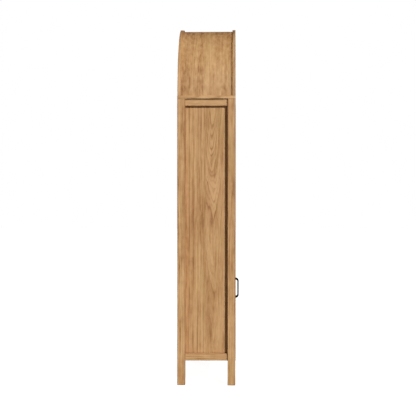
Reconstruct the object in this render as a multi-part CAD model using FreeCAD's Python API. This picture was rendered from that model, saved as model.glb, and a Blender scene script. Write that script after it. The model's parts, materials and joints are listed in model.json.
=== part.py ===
import FreeCAD, Part
import math
import os

# Arch-topped oak pantry cabinet: a frame-and-panel case on four square legs, an arched
# open bay on top, open shelves below it, and an inset two-door cupboard at the bottom.
# Millimetres, +Z up, front towards -Y, X across.  The origin is on the floor, in the
# middle of the whole cabinet's box, the two pulls included.

os.makedirs("parts", exist_ok=True)

Vector = FreeCAD.Vector

# ---- Driving dimensions -------------------------------------------------------------

width = 914.0
depth = 343.0
spring_height = 1710.0        # where the arch starts: the upper face of the deck board
board = 18.0                  # shelf and deck boards

post = 46.0
leg_clearance = 146.0         # floor to the underside of the case
rail_height = 42.0
side_rail_recess = 11.0       # rail faces behind the post faces
side_rail_thickness = 30.0
panel_recess = 30.0           # side panel faces behind the post faces
side_panel_thickness = 8.0
groove_depth = 8.0
panel_play = 0.5              # room for a panel to swell in its groove

arch_width = 45.0             # radial width of the two arched frames
front_arch_thickness = 18.0
back_arch_thickness = 20.0
arch_setback = 1.0            # arch faces behind the deck's front and back edges
roof_recess = 10.0
roof_thickness = 9.0
roof_tongue = 6.0             # length of roof panel held in each arch
roof_play = 0.1

front_setback = 7.0           # front rails and doors behind the post faces
front_thickness = 20.0        # front rails and door frames
cupboard_top = 887.0              # top of the door opening
middle_rail_height = 38.0
back_rail_height = 60.0
back_rail_thickness = 20.0
back_panel_thickness = 6.0
back_panel_recess = 8.0

shelf_play = 2.0              # gap between a loose shelf and the posts
open_shelf_setback = 12.0
cupboard_shelf_setback = 30.0
open_shelf_heights = (1169.0, 1430.0)      # undersides of the open shelves
cupboard_shelf_height = 520.0
pin_setback = 34.0
pin_radius = 2.5
pin_stub_radius = 3.5
pin_stub_length = 9.0
pin_hole_depth = 7.0
pin_pitch = 32.0
pin_steps = (-2, -1, 0, 1, 2)

door_side_gap = 2.5
door_meeting_gap = 3.0
door_end_gap = 2.0
stile_width = 60.0
door_panel_thickness = 6.0
door_panel_recess = 7.0

pull_height = 537.0           # middle of each pull above the floor
pull_spacing = 114.5
pull_projection = 27.0        # door face to the outside of the bar
pull_radius = 4.5
pull_bend = 15.0
pull_screw_radius = 1.98
pull_screw_grip = 7.0
pull_screw_head = (4.0, 2.2)  # radius and height of the head
pull_screw_play = 0.5         # beyond the end of the screw

hinge_height = 60.0
hinge_end_distance = 90.0     # end of the door to the middle of a hinge
hinge_leaf = 1.2
hinge_leaf_depth = 15.5       # door face to the back edge of a leaf
barrel_radius = 2.5
barrel_proud = 2.8            # door face to the hinge axis
barrel_room = 0.3
hinge_pin_radius = 1.2
hinge_fit = 0.05
knuckles = 5
hinge_screw_offsets = (-20.0, 0.0, 20.0)
hinge_screw_setback = 8.5
hinge_screw_length = 13.0

dowel_radius = 4.0
dowel_hold = 15.0             # length of a dowel in each piece
dowel_offset = 9.0            # above and below the middle of a rail
side_dowel_inset = 23.0       # outer face of the cabinet to a side rail's dowels
arch_dowel_radius = 3.0
arch_dowel_inset = 25.0
glue_gap = 0.02

cleat_width = 18.0
cleat_height = 20.0
cleat_end_gap = 2.0
cleat_screw_length = 25.0     # stops short of the side panel's groove
cleat_screw_inset = 6.0       # end of a cleat to its screw

catch_width = 43.0
catch_depth = 14.0
catch_inset = 10.0            # middle of the cabinet to the catch
catch_drop = 17.0             # below the top of the door opening
catch_rise = 16.0             # above it, where the catch is screwed to the rail
catch_gap = 0.3
strike_thickness = 1.0
strike_drop = (15.0, 4.0)     # lower and upper edge below the top of the opening
strike_inset = 4.0            # side of the catch to the side of its plate

screw_head = 2.4              # radius of a countersunk head
screw_head_depth = 1.2
screw_shank = 1.3             # radius
screw_point = 3.0             # length of the pointed end
screw_tip = 0.3               # radius
screw_slot = (2.6, 0.9)       # length and depth of the slots in a head
slot_narrowness = 4.0         # length of a slot over its width

back_screw_head = (3.2, 1.6)  # radius and height of the head
back_screw_length = 14.0
arch_screw_length = 10.0
back_screw_inset = 14.0       # edge of the back panel to a screw
back_screw_places = (-300.0, -100.0, 100.0, 300.0)
back_screw_rows = 7
back_screw_margins = (60.0, 120.0)         # above the bottom rail, below the top rail
arch_screw_angles = (12, 38, 64, 90, 116, 142, 168)
arch_panel_lap = 10.0         # rabbet in the back arch
arch_panel_play = 0.5

glide_radius = 15.0
glide_height = 2.0
ease = 1.6                    # rounding of the boards' long edges
post_ease = 2.2
fine_ease = 0.8

wall_hole_radius = 2.75
wall_hole_spacing = 500.0

# ---- Places worked out from them ----------------------------------------------------

half = width / 2
pull_reach = pull_projection - front_setback
front = (pull_reach - depth) / 2
back = front + depth
deck_low = spring_height - board
inner = half - post                        # inner faces of the posts, from the middle
rail_top = leg_clearance + rail_height
top_rail_low = deck_low - rail_height
middle_top = cupboard_top + middle_rail_height
middle_low = middle_top - board
face = front + front_setback               # front face of the doors and front rails
face_back = face + front_thickness
back_sheet = (back - back_panel_recess - back_panel_thickness, back - back_panel_recess)
side_rail_x = (half - side_rail_recess - side_rail_thickness, half - side_rail_recess)
side_panel_x = (half - panel_recess - side_panel_thickness, half - panel_recess)
between_posts = (front + post, back - post)
back_rail_y = (back_sheet[0] - back_rail_thickness, back_sheet[0])
groove_z = (rail_top - groove_depth, top_rail_low + groove_depth)
door_low = rail_top + door_end_gap
door_high = cupboard_top - door_end_gap
panel_y = (face + door_panel_recess, face + door_panel_recess + door_panel_thickness)
hinge_axis = (inner - door_side_gap / 2, face - barrel_proud)
arch_y = {"front": (front + arch_setback, front + arch_setback + front_arch_thickness),
          "back": (back - arch_setback - back_arch_thickness, back - arch_setback)}
hinge_heights = (door_low + hinge_end_distance, door_high - hinge_end_distance)

nodes = {}                                 # node name -> list of solids
cuts = {}                                  # node name -> list of solids to take away


# ---- Helpers ------------------------------------------------------------------------

def block(x_span, y_span, z_span):
    """A rectangular solid between three pairs of coordinates."""
    corner = Vector(x_span[0], y_span[0], z_span[0])
    size = (x_span[1] - x_span[0], y_span[1] - y_span[0], z_span[1] - z_span[0])
    return Part.makeBox(size[0], size[1], size[2], corner)


def timber(x_span, y_span, z_span, along, radius=ease):
    """A board whose long edges, along the named axis, are rounded."""
    shape = block(x_span, y_span, z_span)
    direction = {"x": Vector(1, 0, 0), "y": Vector(0, 1, 0), "z": Vector(0, 0, 1)}[along]
    edges = [edge for edge in shape.Edges if abs(edge.tangentAt(0).dot(direction)) > 0.99]
    return shape.makeFillet(radius, edges)


def mirrored(side, near, far):
    """The X span between two distances from the middle, on the given side."""
    return tuple(sorted((side * near, side * far)))


def rod(start, direction, length, radius):
    return Part.makeCylinder(radius, length, start, direction)


def half_ring(outer, inner_radius, y_span):
    """Half a ring or, with no inner radius, half a disc, standing on the deck."""
    base = Vector(0, y_span[0], spring_height)
    length = y_span[1] - y_span[0]
    shape = Part.makeCylinder(outer, length, base, Vector(0, 1, 0))
    if inner_radius:
        shape = shape.cut(Part.makeCylinder(inner_radius, length, base, Vector(0, 1, 0)))
    above = block((-outer, outer), y_span, (spring_height, spring_height + outer))
    return shape.common(above)


def rounded_arch(outer, inner_radius, y_span, radius):
    """An arched frame with its four curved edges rounded."""
    shape = half_ring(outer, inner_radius, y_span)
    curved = [edge for edge in shape.Edges if isinstance(edge.Curve, Part.Circle)]
    return shape.makeFillet(radius, curved)


def cross_slot(face, direction, size, slot_depth):
    """The two crossed slots of a screw's head, cut into it from the given point."""
    turn = FreeCAD.Rotation(Vector(0, 0, 1), direction)
    slots = []
    narrow = size / slot_narrowness
    for long_way, short_way in ((size, narrow), (narrow, size)):
        slot = Part.makeBox(long_way, short_way, slot_depth + 1.0,
                            Vector(-long_way / 2, -short_way / 2, -1.0))
        slot.Placement = FreeCAD.Placement(face, turn)
        slots.append(slot)
    return slots


def wood_screw(head, direction, length, play=0.0):
    """A countersunk screw with its head's face at the given point."""
    thick = screw_shank + play
    top = Part.makeCone(screw_head + play, thick, screw_head_depth, head, direction)
    shank = rod(head, direction, length - screw_point, thick)
    neck = head + direction * (length - screw_point)
    tip = Part.makeCone(thick, screw_tip, screw_point, neck, direction)
    return top.fuse([shank, tip]).removeSplitter()


def slotted_wood_screw(head, direction, length):
    return wood_screw(head, direction, length).cut(cross_slot(head, direction, *screw_slot))


def round_screw(seat, direction, length, shank, head):
    """A screw whose rounded head, of the given radius and height, stands on a surface."""
    radius, height = head
    crown = seat - direction * height
    cap = rod(crown, direction, height, radius)
    rim = [edge for edge in cap.Edges
           if isinstance(edge.Curve, Part.Circle) and (edge.CenterOfMass - seat).Length > height / 2]
    cap = cap.makeFillet(height * 0.6, rim)
    cap = cap.cut(cross_slot(crown, direction, radius, height * 0.6))
    return cap.fuse(rod(seat, direction, length, shank)).removeSplitter()


def add(name, *solids):
    nodes.setdefault(name, []).extend(solids)


def take(name, *solids):
    cuts.setdefault(name, []).extend(solids)


def side_name(side):
    return "left" if side < 0 else "right"


sides = (-1, 1)


# ---- Case ---------------------------------------------------------------------------

def make_posts():
    for side in sides:
        for row, y0 in (("front", front), ("back", back - post)):
            name = "post_%s_%s" % (row, side_name(side))
            span = mirrored(side, inner, half)
            add(name, timber(span, (y0, y0 + post), (glide_height, deck_low), "z", post_ease))
            groove_y = (y0 + post - groove_depth, y0 + post)
            if row == "back":
                groove_y = (y0, y0 + groove_depth)
            take(name, block(mirrored(side, *side_panel_x), groove_y, groove_z))
        rabbet = mirrored(side, inner, inner + groove_depth)
        take("post_back_" + side_name(side),
             block(rabbet, (back_sheet[0], back), (leg_clearance, deck_low)))


def make_glides():
    for side in sides:
        for y in (front + post / 2, back - post / 2):
            start = Vector(side * (half - post / 2), y, 0)
            add("floor_glides", rod(start, Vector(0, 0, 1), glide_height, glide_radius))


def make_sides():
    inset = groove_depth - panel_play
    for side in sides:
        rail_x = mirrored(side, *side_rail_x)
        panel_x = mirrored(side, *side_panel_x)
        for level, low in (("bottom", leg_clearance), ("top", top_rail_low)):
            name = "side_rail_%s_%s" % (level, side_name(side))
            add(name, timber(rail_x, between_posts, (low, low + rail_height), "y"))
            groove = (groove_z[0], rail_top) if level == "bottom" else (top_rail_low, groove_z[1])
            take(name, block(panel_x, between_posts, groove))
        add("side_panel_" + side_name(side),
            block(panel_x, (between_posts[0] - inset, between_posts[1] + inset),
                  (rail_top - inset, top_rail_low + inset)))


def make_front_rails():
    levels = (("bottom", leg_clearance, rail_top),
              ("middle", cupboard_top, middle_top),
              ("top", top_rail_low, deck_low))
    for level, low, high in levels:
        add("front_rail_" + level, timber((-inner, inner), (face, face_back), (low, high), "x"))


def make_back():
    top = (deck_low - back_rail_height, deck_low)
    for level, span in (("bottom", (leg_clearance, rail_top)), ("top", top)):
        add("back_rail_" + level, timber((-inner, inner), back_rail_y, span, "x"))
    reach = inner + groove_depth - panel_play
    add("back_panel", block((-reach, reach), back_sheet, (leg_clearance, deck_low)))
    middle = sum(top) / 2
    for side in sides:
        hole = rod(Vector(side * wall_hole_spacing / 2, back_rail_y[0] - 1, middle),
                   Vector(0, 1, 0), back_rail_thickness + back_panel_thickness + 2, wall_hole_radius)
        take("back_rail_top", hole)
        take("back_panel", hole)


def back_screw(seat, length, holders):
    inward = Vector(0, -1, 0)
    add("back_panel_screws", round_screw(seat, inward, length, screw_shank, back_screw_head))
    drill = rod(seat, inward, length + glue_gap, screw_shank + glue_gap)
    for name in holders:
        take(name, drill)


def make_back_screws():
    """Round-headed screws along the edges of the two back panels."""
    edge = inner + groove_depth / 2
    low = rail_top + back_screw_margins[0]
    high = top_rail_low - back_screw_margins[1]
    step = (high - low) / (back_screw_rows - 1)
    places = [(x, z, "back_rail_" + level)
              for level, z in (("bottom", leg_clearance + back_screw_inset),
                               ("top", deck_low - back_screw_inset))
              for x in back_screw_places]
    places += [(side * edge, low + step * index, "post_back_" + side_name(side))
               for side in sides for index in range(back_screw_rows)]
    for x, z, holder in places:
        seat = Vector(x, back_sheet[1], z)
        back_screw(seat, back_screw_length, (holder, "back_panel"))
    arch_radius = inner + arch_panel_lap / 2
    for degrees in arch_screw_angles:
        angle = math.radians(degrees)
        seat = Vector(arch_radius * math.cos(angle), back_sheet[1],
                      spring_height + arch_radius * math.sin(angle))
        back_screw(seat, arch_screw_length, ("arch_back", "arch_back_panel"))


def make_boards():
    add("bottom_board", timber((-inner, inner), (face_back, back_rail_y[0]),
                               (rail_top - board, rail_top), "x", fine_ease))
    add("middle_board", timber((-inner, inner), (face_back, back_sheet[0]),
                               (middle_low, middle_top), "x", fine_ease))
    deck = block((-half, half), (front, back), (deck_low, spring_height))
    add("deck_board", deck.makeFillet(fine_ease, deck.Edges))
    reach = inner - shelf_play
    rear = back_sheet[0] - shelf_play
    for name, low in zip(("shelf_open_lower", "shelf_open_upper"), open_shelf_heights):
        add(name, timber((-reach, reach), (front + open_shelf_setback, rear), (low, low + board), "x"))
    add("shelf_cupboard", timber((-reach, reach), (front + cupboard_shelf_setback, rear),
                                 (cupboard_shelf_height, cupboard_shelf_height + board), "x"))


def make_shelf_pins():
    """Four pins under each loose shelf, and the rows of spare holes around them."""
    for low in open_shelf_heights + (cupboard_shelf_height,):
        level = low - pin_stub_radius
        for side in sides:
            for row, y in (("front", front + pin_setback), ("back", back - pin_setback)):
                mouth = Vector(side * inner, y, level)
                outward = Vector(side, 0, 0)
                shank = rod(mouth, outward, pin_hole_depth - 1.0, pin_radius)
                stub = rod(mouth, -outward, pin_stub_length, pin_stub_radius)
                add("shelf_pins", stub.fuse(shank).removeSplitter())
                for step in pin_steps:
                    start = Vector(side * inner, y, level + step * pin_pitch)
                    hole = rod(start, outward, pin_hole_depth, pin_radius + glue_gap)
                    take("post_%s_%s" % (row, side_name(side)), hole)


def make_cleats():
    """Strips screwed to the posts, which carry the bottom and middle boards."""
    y_span = (face_back + cleat_end_gap, back_rail_y[0] - cleat_end_gap)
    for high in (rail_top - board, middle_low):
        for side in sides:
            x_span = mirrored(side, inner - cleat_width, inner)
            add("cleats", timber(x_span, y_span, (high - cleat_height, high), "y", fine_ease))
            for row, y in (("front", y_span[0] + cleat_screw_inset),
                           ("back", y_span[1] - cleat_screw_inset)):
                head = Vector(side * (inner - cleat_width), y, high - cleat_height / 2)
                outward = Vector(side, 0, 0)
                add("cleat_screws", slotted_wood_screw(head, outward, cleat_screw_length))
                drill = wood_screw(head, outward, cleat_screw_length, glue_gap)
                take("cleats", drill)
                take("post_%s_%s" % (row, side_name(side)), drill)


# ---- Arched top ---------------------------------------------------------------------

def make_arched_top():
    front_y, back_y = arch_y["front"], arch_y["back"]
    inner_arch = half - arch_width
    add("arch_front", rounded_arch(half, inner_arch, front_y, ease))
    add("arch_back", rounded_arch(half, inner_arch, back_y, ease))
    roof = (half - roof_recess, half - roof_recess - roof_thickness)
    roof_y = (front_y[1] - roof_tongue, back_y[0] + roof_tongue)
    add("roof_panel", half_ring(roof[0], roof[1], roof_y))
    groove = half_ring(roof[0] + roof_play, roof[1] - roof_play, roof_y)
    take("arch_front", groove)
    take("arch_back", groove)
    rabbet = inner_arch + arch_panel_lap
    take("arch_back", half_ring(rabbet, 0, (back_sheet[0], back)))
    add("arch_back_panel", half_ring(rabbet - arch_panel_play, 0, back_sheet))


# ---- Dowels -------------------------------------------------------------------------

def dowel(start, direction, length, radius, holders):
    add("dowels", rod(start, direction, length, radius))
    hole = rod(start - direction * glue_gap, direction, length + 2 * glue_gap, radius + glue_gap)
    for name in holders:
        take(name, hole)


def make_dowels():
    length = 2 * dowel_hold
    cross_rails = (("front_rail_bottom", leg_clearance, rail_top, "front"),
                   ("front_rail_middle", cupboard_top, middle_top, "front"),
                   ("front_rail_top", top_rail_low, deck_low, "front"),
                   ("back_rail_bottom", leg_clearance, rail_top, "back"),
                   ("back_rail_top", deck_low - back_rail_height, deck_low, "back"))
    row_y = {"front": (face + face_back) / 2, "back": sum(back_rail_y) / 2}
    for side in sides:
        for name, low, high, row in cross_rails:
            for offset in (-dowel_offset, dowel_offset):
                start = Vector(side * (inner - dowel_hold), row_y[row], (low + high) / 2 + offset)
                holders = (name, "post_%s_%s" % (row, side_name(side)))
                dowel(start, Vector(side, 0, 0), length, dowel_radius, holders)
        for level, low in (("bottom", leg_clearance), ("top", top_rail_low)):
            for offset in (-dowel_offset, dowel_offset):
                z = low + rail_height / 2 + offset
                for row, y, way in (("front", between_posts[0], 1), ("back", between_posts[1], -1)):
                    start = Vector(side * (half - side_dowel_inset), y - way * dowel_hold, z)
                    holders = ("side_rail_%s_%s" % (level, side_name(side)),
                               "post_%s_%s" % (row, side_name(side)))
                    dowel(start, Vector(0, way, 0), length, dowel_radius, holders)
        for row, y_span in arch_y.items():
            start = Vector(side * (half - arch_dowel_inset), sum(y_span) / 2, deck_low - dowel_hold)
            holders = ("arch_" + row, "deck_board", "post_%s_%s" % (row, side_name(side)))
            dowel(start, Vector(0, 0, 1), length + board, arch_dowel_radius, holders)


# ---- Doors --------------------------------------------------------------------------

def make_door(side):
    """Frame-and-panel door: two grooved stiles, two tongued rails and a loose panel."""
    door = side_name(side) + "_door_"
    hinge_edge = inner - door_side_gap
    meeting_edge = door_meeting_gap / 2
    y_span = (face, face_back)
    hinge_stile = mirrored(side, hinge_edge - stile_width, hinge_edge)
    meeting_stile = mirrored(side, meeting_edge, meeting_edge + stile_width)
    add(door + "hinge_stile", timber(hinge_stile, y_span, (door_low, door_high), "z"))
    add(door + "meeting_stile", timber(meeting_stile, y_span, (door_low, door_high), "z"))
    rail_from = meeting_edge + stile_width
    rail_to = hinge_edge - stile_width
    tongue = groove_depth - panel_play
    rail_x = mirrored(side, rail_from, rail_to)
    tongue_x = mirrored(side, rail_from - tongue, rail_to + tongue)
    groove_x = mirrored(side, rail_from - groove_depth, rail_to + groove_depth)
    groove_span = block(groove_x, panel_y, (door_low, door_high))
    take(door + "hinge_stile", groove_span)
    take(door + "meeting_stile", groove_span)
    opening = (door_low + stile_width, door_high - stile_width)
    for level, z_span in (("bottom", (door_low, opening[0])), ("top", (opening[1], door_high))):
        rail = timber(rail_x, y_span, z_span, "x")
        add(door + level + "_rail", rail.fuse(block(tongue_x, panel_y, z_span)).removeSplitter())
        slot = (opening[0] - groove_depth, opening[0])
        if level == "top":
            slot = (opening[1], opening[1] + groove_depth)
        take(door + level + "_rail", block(groove_x, panel_y, slot))
    add(door + "panel", block(tongue_x, panel_y, (opening[0] - tongue, opening[1] + tongue)))


def make_pull(side):
    """A round black bar bent into a D, screwed on from behind the meeting stile."""
    x = side * (door_meeting_gap / 2 + stile_width / 2)
    reach = pull_projection - pull_radius
    low = pull_height - pull_spacing / 2
    high = pull_height + pull_spacing / 2
    bar_y = face - reach
    turn = pull_bend * (1 - math.sqrt(0.5))
    path = Part.Wire([
        Part.LineSegment(Vector(x, face, low), Vector(x, bar_y + pull_bend, low)).toShape(),
        Part.Arc(Vector(x, bar_y + pull_bend, low), Vector(x, bar_y + turn, low + turn),
                 Vector(x, bar_y, low + pull_bend)).toShape(),
        Part.LineSegment(Vector(x, bar_y, low + pull_bend),
                         Vector(x, bar_y, high - pull_bend)).toShape(),
        Part.Arc(Vector(x, bar_y, high - pull_bend), Vector(x, bar_y + turn, high - turn),
                 Vector(x, bar_y + pull_bend, high)).toShape(),
        Part.LineSegment(Vector(x, bar_y + pull_bend, high), Vector(x, face, high)).toShape(),
    ])
    section = Part.Wire([Part.makeCircle(pull_radius, Vector(x, face, low), Vector(0, -1, 0))])
    name = side_name(side) + "_pull"
    stile = side_name(side) + "_door_meeting_stile"
    add(name, path.makePipeShell([section], True, True))
    for z in (low, high):
        seat = Vector(x, face_back, z)
        length = front_thickness + pull_screw_grip
        forward = Vector(0, -1, 0)
        screw = round_screw(seat, forward, length, pull_screw_radius, pull_screw_head)
        add(name + "_screws", screw)
        drill = rod(seat, forward, length + pull_screw_play, pull_screw_radius + glue_gap)
        take(name, drill)
        take(stile, drill)


def make_hinges(side):
    """Two butt hinges: leaves let into the post and the door, five knuckles and a pin."""
    door = side_name(side)
    stile = door + "_door_hinge_stile"
    holder = "post_front_" + door
    leaf_y = (hinge_axis[1], face + hinge_leaf_depth)
    frame_x = mirrored(side, inner, inner + hinge_leaf)
    door_edge = inner - door_side_gap
    door_x = mirrored(side, door_edge - hinge_leaf, door_edge)
    axis_x = side * hinge_axis[0]
    pitch = hinge_height / knuckles
    for middle in hinge_heights:
        low = middle - hinge_height / 2
        z_span = (low, low + hinge_height)
        leaves = {"frame": block(frame_x, leaf_y, z_span), "door": block(door_x, leaf_y, z_span)}
        other = {"frame": "door", "door": "frame"}
        barrels = {"frame": [], "door": []}
        for index in range(knuckles):
            owner = "frame" if index % 2 == 0 else "door"
            start = Vector(axis_x, hinge_axis[1], low + index * pitch)
            room = rod(start, Vector(0, 0, 1), pitch, barrel_radius + barrel_room)
            leaves[other[owner]] = leaves[other[owner]].cut(room)
            gap = barrel_room / 2
            start = start + Vector(0, 0, gap)
            barrels[owner].append(rod(start, Vector(0, 0, 1), pitch - 2 * gap, barrel_radius))
        bore_start = Vector(axis_x, hinge_axis[1], low - 1.0)
        bores = {"frame": hinge_pin_radius, "door": hinge_pin_radius + hinge_fit}
        screws = {"frame": (side * inner, Vector(side, 0, 0)),
                  "door": (side * door_edge, Vector(-side, 0, 0))}
        names = {"frame": "hinge_frame_leaves_" + door, "door": "hinge_door_leaves_" + door}
        screw_names = {"frame": "hinge_frame_screws", "door": "hinge_door_screws_" + door}
        woods = {"frame": holder, "door": stile}
        for owner in ("frame", "door"):
            bore = rod(bore_start, Vector(0, 0, 1), hinge_height + 2.0, bores[owner])
            leaf = leaves[owner].fuse(barrels[owner]).cut(bore)
            x, direction = screws[owner]
            for offset in hinge_screw_offsets:
                head = Vector(x, face + hinge_screw_setback, middle + offset)
                add(screw_names[owner], slotted_wood_screw(head, direction, hinge_screw_length))
                drill = wood_screw(head, direction, hinge_screw_length, glue_gap)
                leaf = leaf.cut(drill)
                take(woods[owner], drill)
            add(names[owner], leaf.removeSplitter())
        take(holder, block(frame_x, leaf_y, z_span))
        take(holder, rod(Vector(axis_x, hinge_axis[1], low), Vector(0, 0, 1), hinge_height,
                         barrel_radius + barrel_room))
        take(stile, block(door_x, leaf_y, z_span))
        pin_start = Vector(axis_x, hinge_axis[1], low + barrel_room / 2)
        pin_length = hinge_height - barrel_room
        add("hinge_pins_" + door, rod(pin_start, Vector(0, 0, 1), pin_length, hinge_pin_radius))


def make_catch(side):
    """A magnetic catch behind the middle rail, and the steel plate that it holds."""
    x_span = mirrored(side, catch_inset, catch_inset + catch_width)
    rear = face_back + catch_depth
    upper = block(x_span, (face_back, rear), (cupboard_top, cupboard_top + catch_rise))
    pad = face_back + strike_thickness + catch_gap
    lower = block(x_span, (pad, rear), (cupboard_top - catch_drop, cupboard_top))
    add("magnetic_catches", upper.fuse(lower).removeSplitter())
    plate_x = mirrored(side, catch_inset + strike_inset, catch_inset + catch_width - strike_inset)
    plate_z = (cupboard_top - strike_drop[0], cupboard_top - strike_drop[1])
    add(side_name(side) + "_strike_plate",
        block(plate_x, (face_back, face_back + strike_thickness), plate_z))


# ---- Build and write ----------------------------------------------------------------

make_posts()
make_glides()
make_sides()
make_front_rails()
make_back()
make_back_screws()
make_boards()
make_shelf_pins()
make_cleats()
make_arched_top()
make_dowels()
for side in sides:
    make_door(side)
    make_pull(side)
    make_hinges(side)
    make_catch(side)

for name, solids in nodes.items():
    tools = cuts.get(name, [])
    pieces = []
    for solid in solids:
        box = solid.BoundBox
        near = [tool for tool in tools if tool.BoundBox.intersect(box)]
        result = solid.cut(near) if near else solid
        pieces.extend(result.Solids)
    shape = pieces[0] if len(pieces) == 1 else Part.makeCompound(pieces)
    shape.exportStep("parts/%s.step" % name)
    valid = all(piece.isValid() for piece in pieces)
    volume = sum(piece.Volume for piece in pieces)
    print("%-30s %3d solids  %10.1f cm3  valid %s" % (name, len(pieces), volume / 1000, valid))
print(len(nodes), "nodes, hinge axes at x = +-%.3f, y = %.3f" % hinge_axis)
print("front %.1f back %.1f face %.1f" % (front, back, face))
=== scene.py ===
import json
import math
import random

import bpy
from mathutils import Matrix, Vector


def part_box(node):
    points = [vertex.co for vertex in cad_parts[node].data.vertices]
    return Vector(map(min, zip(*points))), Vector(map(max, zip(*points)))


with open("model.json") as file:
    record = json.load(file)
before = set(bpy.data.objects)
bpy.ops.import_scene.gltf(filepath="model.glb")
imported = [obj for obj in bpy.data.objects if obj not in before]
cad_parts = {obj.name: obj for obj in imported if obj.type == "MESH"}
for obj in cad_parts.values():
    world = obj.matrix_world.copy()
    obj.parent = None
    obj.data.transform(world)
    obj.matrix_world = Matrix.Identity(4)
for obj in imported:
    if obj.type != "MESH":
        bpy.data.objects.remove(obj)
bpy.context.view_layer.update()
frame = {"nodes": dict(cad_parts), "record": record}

# Looks for the arch-topped oak pantry cabinet.  Metres; the front faces -Y, X runs across.
# Every board gets its own oak: the ring pattern of a log, cut the way that board is cut.

nodes = frame["nodes"]

deck_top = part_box("deck_board")[1].z
side_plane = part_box("post_front_left")[0].x
front_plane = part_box("post_front_left")[0].y
roof_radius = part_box("roof_panel")[1].x
roof_thickness = 0.009
arch_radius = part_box("arch_front")[1].x
arch_width = 0.045               # from the inner edge of an arched frame to its outer edge


# ---- Node helpers -------------------------------------------------------------------

class Graph:
    """Short calls for building a shader from nodes."""

    def __init__(self, tree):
        self.tree = tree

    def node(self, kind, **settings):
        made = self.tree.nodes.new(kind)
        for name, value in settings.items():
            setattr(made, name, value)
        return made

    def feed(self, socket, value):
        if isinstance(value, bpy.types.NodeSocket):
            self.tree.links.new(value, socket)
        else:
            socket.default_value = value

    def math(self, operation, a, b=0.0):
        made = self.node("ShaderNodeMath", operation=operation)
        for socket, value in zip(made.inputs, (a, b)):
            self.feed(socket, value)
        return made.outputs[0]

    def add(self, first, *others):
        total = first
        for other in others:
            total = self.math("ADD", total, other)
        return total

    def subtract(self, a, b):
        return self.math("SUBTRACT", a, b)

    def times(self, a, b):
        return self.math("MULTIPLY", a, b)

    def swing(self, value, middle, weight):
        """How far a value is from its middle, times a weight."""
        return self.times(self.subtract(value, middle), weight)

    def split(self, vector):
        made = self.node("ShaderNodeSeparateXYZ")
        self.feed(made.inputs[0], vector)
        return made.outputs

    def join(self, x, y, z):
        made = self.node("ShaderNodeCombineXYZ")
        for socket, value in zip(made.inputs, (x, y, z)):
            self.feed(socket, value)
        return made.outputs[0]

    def noise(self, vector, scale, detail=2.0, rough=0.5):
        """Smooth noise from 0 to 1, of the given frequency per metre along each axis."""
        scaled = self.node("ShaderNodeVectorMath", operation="MULTIPLY")
        self.feed(scaled.inputs[0], vector)
        scaled.inputs[1].default_value = scale
        made = self.node("ShaderNodeTexNoise", noise_dimensions="3D")
        self.feed(made.inputs["Vector"], scaled.outputs[0])
        made.inputs["Scale"].default_value = 1.0
        made.inputs["Detail"].default_value = detail
        made.inputs["Roughness"].default_value = rough
        return made.outputs["Fac"]

    def even_noise(self, vector, scale, detail=3.0, rough=0.6):
        """The same with one frequency along every axis."""
        return self.noise(vector, (scale, scale, scale), detail, rough)

    def span(self, value, low, high, to_low=0.0, to_high=1.0):
        """Maps a range of values smoothly to another, and holds it there outside the range."""
        made = self.node("ShaderNodeMapRange", interpolation_type="SMOOTHSTEP", clamp=True)
        for socket, item in zip(made.inputs, (value, low, high, to_low, to_high)):
            self.feed(socket, item)
        return made.outputs[0]

    def mix(self, factor, a, b, kind="RGBA"):
        """Goes from a to b as the factor goes from 0 to 1, for colours or, with the kind
        VECTOR, for places.  The node keeps separate sockets for each kind."""
        first, second, result = {"VECTOR": (4, 5, 1), "RGBA": (6, 7, 2)}[kind]
        made = self.node("ShaderNodeMix", data_type=kind)
        self.feed(made.inputs[0], factor)
        self.feed(made.inputs[first], a)
        self.feed(made.inputs[second], b)
        return made.outputs[result]

    def stepped(self, place, joints, values):
        """A number for each leaf of a glued-up board; the leaves meet at the joints."""
        if not isinstance(values, tuple):
            return values
        total = values[0]
        for joint, before, after in zip(joints, values, values[1:]):
            past = self.math("GREATER_THAN", place, joint)
            total = self.add(total, self.times(past, after - before))
        return total

    def ramp(self, value, stops):
        """A colour ramp through (position, colour) stops."""
        made = self.node("ShaderNodeValToRGB")
        self.feed(made.inputs[0], value)
        points = made.color_ramp.elements
        while len(points) < len(stops):
            points.new(0.5)
        for point, (place, colour) in zip(points, stops):
            point.position = place
            point.color = colour
        return made.outputs[0]

    def emboss(self, shader, height, strength, distance):
        """Fine relief on a shader's surface; the distance is the height of a value of 1."""
        relief = self.node("ShaderNodeBump")
        relief.inputs["Strength"].default_value = strength
        relief.inputs["Distance"].default_value = distance
        self.feed(relief.inputs["Height"], height)
        self.feed(shader.inputs["Normal"], relief.outputs[0])


def srgb(red, green, blue):
    """An 8-bit display colour as the linear colour that a shader takes."""
    def linear(value):
        value = value / 255.0
        return value / 12.92 if value <= 0.04045 else ((value + 0.055) / 1.055) ** 2.4
    return (linear(red), linear(green), linear(blue), 1.0)


def new_material(name):
    material = bpy.data.materials.new(name)
    material.use_nodes = True
    tree = material.node_tree
    tree.nodes.clear()
    graph = Graph(tree)
    shader = graph.node("ShaderNodeBsdfPrincipled")
    output = graph.node("ShaderNodeOutputMaterial")
    tree.links.new(shader.outputs[0], output.inputs["Surface"])
    return material, graph, shader


def dress(name, material):
    """Gives a CAD node its material."""
    mesh = nodes[name].data
    mesh.materials.clear()
    mesh.materials.append(material)


# ---- Oak ----------------------------------------------------------------------------

pale_to_dark_oak = ((0.00, srgb(216, 175, 125)), (0.35, srgb(200, 158, 109)),
                    (0.65, srgb(184, 139, 90)), (1.00, srgb(150, 104, 61)))
rosy_oak = srgb(194, 142, 103)
greenish_oak = srgb(186, 150, 98)
ray_colour = srgb(222, 186, 140)
pore_colour = srgb(118, 76, 43)
# Edges rubbed by handling, and painted shade in corners such as round the side panels.
wear_and_shade_colour = srgb(146, 98, 60)

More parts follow.
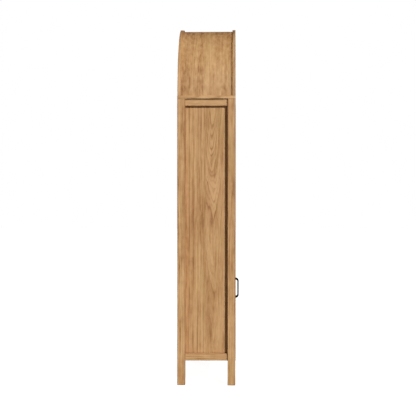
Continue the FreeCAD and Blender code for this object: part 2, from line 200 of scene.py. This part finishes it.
wave_reach = 0.018               # how far slow waves push the rings in and out
ripple_reach = 0.003             # the same for quick waves
log_length = 40.0                # boards are cut from anywhere within this, each way
leaf_gap = 9.0                   # wood skipped between two leaves of one board
crown_start = 0.32               # how far from the top, round the bend, the painted crown shade starts
crown_full = 0.10                # how far from the top the painted crown shade is at full strength
end_facing = 0.7                 # a face that looks along X at least this much is an end
plain_shade = 0.47               # shade of a board before its patterns and its own tone
plain_roughness = 0.47

wood_inputs = (("Place", "Vector"), ("Seed", "Vector"), ("Centre across", "Float"),
               ("Centre through", "Float"), ("Climb", "Float"), ("Ring", "Float"),
               ("Edge", "Float"), ("Tone", "Float"), ("Figure", "Float"),
               ("Streak", "Float"), ("Mottle", "Float"), ("Rubbed edges and corner shade", "Float"))
wood_outputs = (("Color", "Color"), ("Roughness", "Float"), ("Height", "Float"))


def ring_count(g, given, place):
    """Rings from the log's centre outwards, bent by slow and quick waves."""
    along, across, through = g.split(given["Place"])
    wave = g.noise(place, (2.2, 9.0, 9.0))
    ripple = g.noise(place, (9.0, 46.0, 46.0))
    dx = g.subtract(across, given["Centre across"])
    dy = g.subtract(through, given["Centre through"])
    radius = g.math("SQRT", g.add(g.times(dx, dx), g.times(dy, dy)))
    radius = g.add(radius, g.times(along, given["Climb"]),
                   g.swing(wave, 0.5, wave_reach), g.swing(ripple, 0.5, ripple_reach))
    return g.math("DIVIDE", radius, given["Ring"])


def growth(g, count):
    """Early wood, and the darkness of each year and of each run of years, from 0 to 1."""
    phase = g.math("FRACT", count)
    year = g.node("ShaderNodeTexWhiteNoise", noise_dimensions="1D")
    g.feed(year.inputs["W"], g.math("FLOOR", count))
    year = year.outputs["Value"]
    spell = g.node("ShaderNodeTexNoise", noise_dimensions="1D")
    g.feed(spell.inputs["W"], count)
    spell.inputs["Scale"].default_value = 0.34
    spell.inputs["Detail"].default_value = 2.0
    spell.inputs["Roughness"].default_value = 0.6
    # Early wood starts sharply at a ring's edge and fades before the year's end.
    early = g.times(g.span(phase, 0.0, 0.10), g.span(phase, 0.62, 0.16))
    early = g.times(early, g.add(0.30, g.times(year, 0.70)))
    return early, year, spell.outputs["Fac"]


def open_pores(g, place, early):
    """Short dark dashes along the grain, crowded in the early wood."""
    dash = g.noise(place, (34.0, 1150.0, 1150.0), 1.0, 0.4)
    long_dash = g.noise(place, (14.0, 520.0, 520.0), 1.0, 0.4)
    crowd = g.add(0.17, g.times(early, 0.75))
    pores = g.times(g.span(dash, 0.56, 0.70), crowd)
    long_pores = g.times(g.span(long_dash, 0.60, 0.74), g.times(early, 0.8))
    return g.math("MAXIMUM", pores, long_pores)


def oak_colour(g, given, place, shade, pores, wear_and_edge_shade):
    """The wood's colour, with pink and green clouds, rays, pores and darker edges over it; the
    edges are partly rubbed by handling and partly painted shade in corners.
    """
    cloud = g.noise(place, (2.6, 8.0, 8.0))
    rays = g.span(g.noise(place, (60.0, 210.0, 30.0), 1.0, 0.3), 0.66, 0.80)
    colour = g.ramp(shade, pale_to_dark_oak)
    colour = g.mix(g.span(cloud, 0.50, 0.74, 0.0, 0.30), colour, rosy_oak)
    colour = g.mix(g.span(cloud, 0.46, 0.28, 0.0, 0.35), colour, greenish_oak)
    colour = g.mix(g.times(rays, 0.16), colour, ray_colour)
    colour = g.mix(g.times(pores, 0.58), colour, pore_colour)
    return g.mix(g.times(wear_and_edge_shade, given["Rubbed edges and corner shade"]), colour, wear_and_shade_colour)


def make_wood_group():
    """Turns a place in a log (along, across, through, in metres) into oak.

    Inputs: the place, which part of the wood it is in, the log's centre seen from the board,
    how fast the rings climb along the board, the width of a ring, how near the place is to
    an edge, the board's own tone (with any painted crown shade added), how much figure,
    streaks and mottle it shows, and how dark its edges grow, partly rubbed by handling and
    partly painted shade in corners."""
    tree = bpy.data.node_groups.new("oak_log", "ShaderNodeTree")
    for name, kind in wood_inputs:
        tree.interface.new_socket(name, in_out="INPUT", socket_type="NodeSocket" + kind)
    for name, kind in wood_outputs:
        tree.interface.new_socket(name, in_out="OUTPUT", socket_type="NodeSocket" + kind)
    g = Graph(tree)
    given = g.node("NodeGroupInput").outputs
    result = g.node("NodeGroupOutput").inputs

    moved = g.node("ShaderNodeVectorMath", operation="ADD")
    g.feed(moved.inputs[0], given["Place"])
    g.feed(moved.inputs[1], given["Seed"])
    place = moved.outputs[0]

    # The figure of the rings fades in and out over the board.
    early, year, spell = growth(g, ring_count(g, given, place))
    clear = g.span(g.noise(place, (1.3, 7.0, 7.0), 1.0), 0.36, 0.60, 0.35, 1.0)
    figure = g.times(given["Figure"], clear)

    # Streaks and clouds of tone, from fine lines to a hand's width.
    fine = g.noise(place, (6.0, 420.0, 420.0), 2.0, 0.6)
    streak = g.noise(place, (6.0, 115.0, 115.0), 2.0, 0.55)
    band = g.noise(place, (4.0, 36.0, 36.0))
    broad = g.noise(place, (1.6, 13.0, 13.0), 1.0)
    mottle = g.noise(place, (26.0, 60.0, 60.0), 2.0, 0.55)

    # Each pattern's own middle, and how much darker it makes the wood.
    shade = g.add(g.swing(streak, 0.5, g.times(given["Streak"], 1.45)),
                  g.swing(band, 0.5, 1.00),
                  g.swing(broad, 0.5, 0.75),
                  g.swing(fine, 0.5, g.times(given["Streak"], 0.60)),
                  g.swing(mottle, 0.5, g.times(given["Mottle"], 0.80)),
                  g.swing(spell, 0.5, g.times(figure, 1.30)),
                  g.swing(year, 0.5, g.times(figure, 0.20)),
                  g.swing(early, 0.25, g.times(figure, 0.60)),
                  plain_shade, given["Tone"])

    # Rounded edges darken and redden unevenly: partly rubbed by handling, and partly
    # painted shade where a board sits in a corner, as round the side panels.
    patch = g.noise(place, (7.0, 30.0, 30.0))
    wear_and_edge_shade = g.times(given["Edge"], g.span(patch, 0.30, 0.62, 0.35, 1.0))

    pores = open_pores(g, place, early)
    g.feed(result["Color"], oak_colour(g, given, place, shade, pores, wear_and_edge_shade))
    rough = g.add(plain_roughness, g.times(pores, 0.26), g.swing(mottle, 0.5, 0.12))
    g.feed(result["Roughness"], g.subtract(rough, g.times(wear_and_edge_shade, 0.08)))
    height = g.subtract(g.times(fine, 0.30), pores)
    g.feed(result["Height"], g.add(height, g.times(early, -0.25)))
    return tree


wood_group = make_wood_group()


def edge_factor(g, place, half_size, reach):
    """1 on a board's edges and 0 from `reach` inwards: the second nearest face is close."""
    gaps = []
    for value, half in zip(g.split(place), half_size):
        gaps.append(g.subtract(half, g.math("ABSOLUTE", value)))
    a, b, c = gaps
    nearest_two = g.math("MINIMUM", g.math("MAXIMUM", a, b), c)
    second = g.math("MAXIMUM", g.math("MINIMUM", a, b), nearest_two)
    return g.span(second, 0.0, reach, 1.0, 0.0)


def oak_material(name, place_maker, seed, half_size, across=0.0, through=-0.06, climb=0.012,
                 ring=0.0032, tone=0.0, figure=1.0, streak=1.0, mottle=1.0, wear=0.55,
                 joints=(), mellow=0.0, edge_reach=0.006):
    """A board's own oak.  place_maker turns the shader's graph into the place in the log,
    measured from the board's middle: along the grain, across it, and through the board.
    A board glued up from leaves gives its joints, and a number for each leaf.  Its edges
    darken, partly rubbed by handling and partly painted shade in corners, and a bent board
    can also be given painted shade that darkens its crown, more towards the top."""
    material, g, shader = new_material(name)
    place = place_maker(g)
    along, sideways, _ = g.split(place)
    wood = g.node("ShaderNodeGroup", node_tree=wood_group)
    g.feed(wood.inputs["Place"], place)
    chance = random.Random(seed)
    shift = [chance.uniform(-log_length, log_length) for _ in range(3)]
    leaf_shifts = tuple(shift[0] + leaf_gap * leaf for leaf in range(len(joints) + 1))
    leaf_shift = g.stepped(sideways, joints, leaf_shifts)
    g.feed(wood.inputs["Seed"], g.join(leaf_shift, shift[1], shift[2]))
    tone = g.stepped(sideways, joints, tone)
    if mellow:
        # Painted shade: a bent board darkens towards the top of its crown.
        from_top = g.math("ABSOLUTE", along)
        tone = g.add(tone, g.span(from_top, crown_start, crown_full, 0.0, mellow))
    g.feed(wood.inputs["Tone"], tone)
    for label, values in (("Centre across", across), ("Centre through", through),
                          ("Climb", climb), ("Ring", ring), ("Figure", figure),
                          ("Streak", streak), ("Mottle", mottle), ("Rubbed edges and corner shade", wear)):
        g.feed(wood.inputs[label], g.stepped(sideways, joints, values))
    g.feed(wood.inputs["Edge"], edge_factor(g, place, half_size, edge_reach))
    g.feed(shader.inputs["Base Color"], wood.outputs["Color"])
    g.feed(shader.inputs["Roughness"], wood.outputs["Roughness"])
    shader.inputs["Specular IOR Level"].default_value = 0.35
    g.emboss(shader, wood.outputs["Height"], strength=0.6, distance=0.00035)
    return material


def object_place(g):
    return g.node("ShaderNodeTexCoord").outputs["Object"]


def straight_place(centre, order):
    """Place in a straight board; order names its grain, width and thickness axes."""
    def maker(g):
        local = {}
        for axis, part, middle in zip("XYZ", g.split(object_place(g)), centre):
            local[axis] = g.subtract(part, middle)
        return g.join(*[local[axis] for axis in order])
    return maker


def banded_place(centre):
    """The same for a board whose grain runs along X and whose ends are covered by edge
    banding, with its grain along Y."""
    def maker(g):
        parts = g.split(object_place(g))
        x, y, z = [g.subtract(part, middle) for part, middle in zip(parts, centre)]
        facing = g.split(g.node("ShaderNodeTexCoord").outputs["Normal"])[0]
        at_end = g.math("GREATER_THAN", g.math("ABSOLUTE", facing), end_facing)
        return g.mix(at_end, g.join(x, y, z), g.join(y, z, x), "VECTOR")
    return maker


def bent_place(order, middle_radius, middle_y):
    """Place in a board bent round the arch's axis: L is the length round the bend,
    R the distance out from the middle radius, and Y runs from front to back."""
    def maker(g):
        x, y, z = g.split(object_place(g))
        rise = g.subtract(z, deck_top)
        angle = g.math("ARCTAN2", x, rise)
        out = g.math("SQRT", g.add(g.times(x, x), g.times(rise, rise)))
        parts = {"L": g.times(angle, middle_radius),
                 "R": g.subtract(out, middle_radius),
                 "Y": g.subtract(y, middle_y)}
        return g.join(*[parts[axis] for axis in order])
    return maker


def seed_of(name):
    return sum((index + 1) * ord(letter) for index, letter in enumerate(name))


def dress_board(name, order, **look):
    """Oak on a straight board; order names its grain, width and thickness axes."""
    low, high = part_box(name)
    centre = (low + high) / 2
    half = (high - low) / 2
    half_size = [half["XYZ".index(axis)] for axis in order]
    chance = random.Random(seed_of(name) + 7)    # apart from the draw that picks the wood
    settings = {"across": chance.uniform(-0.02, 0.02),
                "through": chance.choice((-1, 1)) * chance.uniform(0.05, 0.11),
                "climb": chance.choice((-1, 1)) * chance.uniform(0.008, 0.016),
                "tone": chance.uniform(-0.05, 0.05)}
    settings.update(look)
    banded = settings.pop("banded", False)
    maker = banded_place(centre) if banded else straight_place(centre, order)
    seed = settings.pop("seed", seed_of(name))
    dress(name, oak_material("oak_" + name, maker, seed, half_size, **settings))


def dress_bent(name, order, radius, half_size, **look):
    """Oak on a board bent round the arch's axis; order is as in bent_place."""
    low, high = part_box(name)
    maker = bent_place(order, radius, (low.y + high.y) / 2)
    seed = look.pop("seed", seed_of(name))
    dress(name, oak_material("oak_" + name, maker, seed, half_size, **look))


def dress_side(side):
    """Posts, rails and panel of one side of the case, and the door at that side."""
    # The posts' darker edges are partly rubbed by handling and partly painted shade along the
    # panel's recess.
    for row, tone in (("front", -0.01), ("back", 0.09)):
        dress_board("post_%s_%s" % (row, side), "ZYX", across=0.05, through=0.04,
                    climb=0.006, tone=tone, figure=0.8, wear=0.85)
    for level, tone in (("bottom", -0.13), ("top", -0.17)):
        dress_board("side_rail_%s_%s" % (level, side), "YZX", across=0.05, climb=0.006,
                    figure=0.8, tone=tone)
    # The front leaf shows nested arches, and the back leaf straight lines. The panel's wide
    # dark border is painted shade where it sits in its frame.
    dress_board("side_panel_" + side, "ZYX", joints=(0.002,), across=(-0.036, -0.11),
                through=(0.085, 0.03), climb=(-0.030, 0.004), ring=(0.0020, 0.0085),
                tone=(-0.05, 0.00), figure=(0.95, 1.0), streak=(0.6, 0.9), mottle=0.75,
                wear=1.0, edge_reach=0.018, seed=10)
    door = side + "_door_"
    for part in ("hinge_stile", "meeting_stile"):
        dress_board(door + part, "ZXY", across=0.06, climb=0.004, figure=0.8)
    for part in ("bottom_rail", "top_rail"):
        dress_board(door + part, "XZY", across=0.05, climb=0.006, figure=0.8)
    dress_board(door + "panel", "ZXY", across=0.01, through=0.05, climb=0.015,
                edge_reach=0.002)


def dress_boards():
    """Rails, shelves and back panels, which run from side to side."""
    for level in ("bottom", "middle", "top"):
        dress_board("front_rail_" + level, "XZY", across=0.05, climb=0.004, figure=0.8)
    for level in ("bottom", "top"):
        dress_board("back_rail_" + level, "XZY", across=0.05, climb=0.004)
    dress_board("deck_board", "XYZ", climb=0.010, banded=True, tone=-0.10, streak=0.6,
                mottle=0.6)
    for name in ("middle_board", "bottom_board", "shelf_open_lower", "shelf_open_upper",
                 "shelf_cupboard"):
        dress_board(name, "XYZ", climb=0.010, banded=True)
    for name in ("back_panel", "arch_back_panel"):
        dress_board(name, "ZXY", through=0.08, climb=0.014, edge_reach=0.002)


def dress_arch():
    """The bent roof, laid in three leaves of veneer, and the two arched frames."""
    no_edge = 9.0                # half a size that puts an edge out of reach
    roof_middle = roof_radius - roof_thickness / 2
    # The roof and both arched frames get painted shade darkening their crowns.
    dress_bent("roof_panel", "LYR", roof_middle, (no_edge, no_edge, no_edge), across=0.03,
               through=0.06, climb=0.016, joints=(-0.056, 0.017), tone=(0.04, -0.08, 0.07),
               figure=0.6, streak=0.35, mottle=1.5, mellow=0.35, edge_reach=0.002, seed=10)
    arch_middle = arch_radius - arch_width / 2
    for name, tone in (("arch_front", -0.05), ("arch_back", -0.17)):
        low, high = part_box(name)
        half_size = (no_edge, arch_width / 2, (high.y - low.y) / 2)
        dress_bent(name, "LRY", arch_middle, half_size, across=0.05, through=0.04,
                   climb=0.003, figure=0.6, tone=tone, mellow=0.6)


for side in ("left", "right"):
    dress_side(side)
dress_boards()
dress_arch()


# ---- Beech, metals and plastics -----------------------------------------------------

def beech_material():
    material, g, shader = new_material("beech")
    shade = g.even_noise(object_place(g), 45.0)
    colour = g.ramp(shade, ((0.3, srgb(214, 176, 134)), (0.7, srgb(188, 142, 98))))
    g.feed(shader.inputs["Base Color"], colour)
    g.feed(shader.inputs["Roughness"], g.span(shade, 0.2, 0.8, 0.5, 0.65))
    return material


def black_metal(name, dark, light, rough, shine):
    """Black coating: a fine orange-peel skin and slightly polished, dusty patches."""
    material, g, shader = new_material(name)
    place = object_place(g)
    patch = g.even_noise(place, 28.0)
    g.feed(shader.inputs["Base Color"], g.ramp(patch, ((0.3, dark), (0.75, light))))
    g.feed(shader.inputs["Roughness"], g.span(patch, 0.25, 0.75, rough, rough + 0.12))
    shader.inputs["Specular IOR Level"].default_value = shine
    skin = g.even_noise(place, 1500.0, 1.0, 0.5)
    g.emboss(shader, skin, strength=0.25, distance=0.00004)
    return material


def zinc_material():
    material, g, shader = new_material("zinc_plate")
    patch = g.even_noise(object_place(g), 160.0)
    colour = g.ramp(patch, ((0.3, srgb(176, 176, 170)), (0.7, srgb(202, 200, 190))))
    g.feed(shader.inputs["Base Color"], colour)
    g.feed(shader.inputs["Roughness"], g.span(patch, 0.25, 0.75, 0.28, 0.45))
    shader.inputs["Metallic"].default_value = 1.0
    return material


def plastic_material(name, dark, light):
    """Moulded plastic with a fine matt skin."""
    material, g, shader = new_material(name)
    place = object_place(g)
    patch = g.even_noise(place, 90.0)
    g.feed(shader.inputs["Base Color"], g.ramp(patch, ((0.3, dark), (0.7, light))))
    g.feed(shader.inputs["Roughness"], g.span(patch, 0.2, 0.8, 0.42, 0.55))
    skin = g.even_noise(place, 2500.0, 1.0, 0.5)
    g.emboss(shader, skin, strength=0.3, distance=0.00005)
    return material


slot_materials = {
    "beech": beech_material(),
    "black_pull": black_metal("black_pull", dark=srgb(10, 11, 13), light=srgb(22, 23, 25),
                              rough=0.55, shine=0.14),
    "black_steel": black_metal("black_steel", dark=srgb(20, 20, 22), light=srgb(36, 36, 38),
                               rough=0.38, shine=0.3),
    "zinc_steel": zinc_material(),
    "catch_plastic": plastic_material("brown_plastic", srgb(92, 62, 40), srgb(112, 78, 52)),
    "glide_plastic": plastic_material("tan_plastic", srgb(150, 118, 84), srgb(170, 136, 98)),
}
for part in frame["record"]["subparts"]:
    if part["material_slot"] in slot_materials:
        dress(part["node"], slot_materials[part["material_slot"]])


# ---- Floor, light and camera --------------------------------------------------------

white = (1.0, 1.0, 1.0, 1.0)


def make_floor():
    """A pale floor, lit up for the camera so that it fades into the white surround."""
    size = 30.0
    glow = 0.94
    mesh = bpy.data.meshes.new("floor")
    corners = [(-size, -size, 0.0), (size, -size, 0.0), (size, size, 0.0), (-size, size, 0.0)]
    mesh.from_pydata(corners, [], [(0, 1, 2, 3)])
    floor = bpy.data.objects.new("floor", mesh)
    bpy.context.scene.collection.objects.link(floor)
    material, g, shader = new_material("pale_floor")
    cloud = g.even_noise(object_place(g), 1.2, 3.0, 0.5)
    colour = g.ramp(cloud, ((0.3, (0.34, 0.33, 0.32, 1.0)), (0.7, (0.37, 0.36, 0.35, 1.0))))
    g.feed(shader.inputs["Base Color"], colour)
    shader.inputs["Roughness"].default_value = 0.9
    shader.inputs["Specular IOR Level"].default_value = 0.1
    shader.inputs["Emission Color"].default_value = white
    seen = g.node("ShaderNodeLightPath").outputs["Is Camera Ray"]
    g.feed(shader.inputs["Emission Strength"], g.times(seen, glow))
    mesh.materials.append(material)


def aim(thing, target):
    thing.rotation_euler = (Vector(target) - thing.location).to_track_quat("-Z", "Y").to_euler()


def make_sun(name, direction, strength, spread):
    """A far light whose rays come from the given direction; the spread is in degrees.
    How far away it stands makes no difference."""
    light = bpy.data.lights.new(name, "SUN")
    light.energy = strength
    light.angle = math.radians(spread)
    lamp = bpy.data.objects.new(name, light)
    lamp.location = Vector(direction) * 5.0
    bpy.context.scene.collection.objects.link(lamp)
    aim(lamp, (0.0, 0.0, 0.0))


def make_world():
    """A white surround: bright to look at, and a gentle warm fill as a light."""
    world = bpy.data.worlds.new("studio")
    world.use_nodes = True
    bpy.context.scene.world = world
    tree = world.node_tree
    tree.nodes.clear()
    g = Graph(tree)
    looks = []
    for colour, strength in (((1.0, 0.84, 0.66, 1.0), 0.15), (white, 1.0)):
        look = g.node("ShaderNodeBackground")
        look.inputs["Color"].default_value = colour
        look.inputs["Strength"].default_value = strength
        looks.append(look.outputs[0])
    chooser = g.node("ShaderNodeMixShader")
    g.feed(chooser.inputs[0], g.node("ShaderNodeLightPath").outputs["Is Camera Ray"])
    g.feed(chooser.inputs[1], looks[0])
    g.feed(chooser.inputs[2], looks[1])
    output = g.node("ShaderNodeOutputWorld")
    g.feed(output.inputs["Surface"], chooser.outputs[0])


def make_camera():
    """Almost level, almost in line with the cabinet's front, at about half its height."""
    distance = 5.585             # from the near side of the cabinet
    ahead = 0.0124               # in front of the posts' front faces
    height = 1.093
    turn = math.radians(1.781)   # towards the back of the cabinet
    tilt = math.radians(0.466)   # downwards
    data = bpy.data.cameras.new("camera")
    data.sensor_width = 36.0
    data.lens = 82.12
    data.clip_end = 100.0
    camera = bpy.data.objects.new("camera", data)
    camera.location = Vector((side_plane - distance, front_plane - ahead, height))
    bpy.context.scene.collection.objects.link(camera)
    aim(camera, camera.location + Vector((math.cos(turn), math.sin(turn), -math.tan(tilt))))
    bpy.context.scene.camera = camera


make_floor()
make_world()
make_sun("key", direction=(-1.0, -0.60, 0.60), strength=2.95, spread=5.0)
make_sun("far_fill", direction=(0.85, 0.75, 0.12), strength=2.0, spread=40.0)
make_camera()
bpy.context.scene.view_settings.view_transform = "Standard"
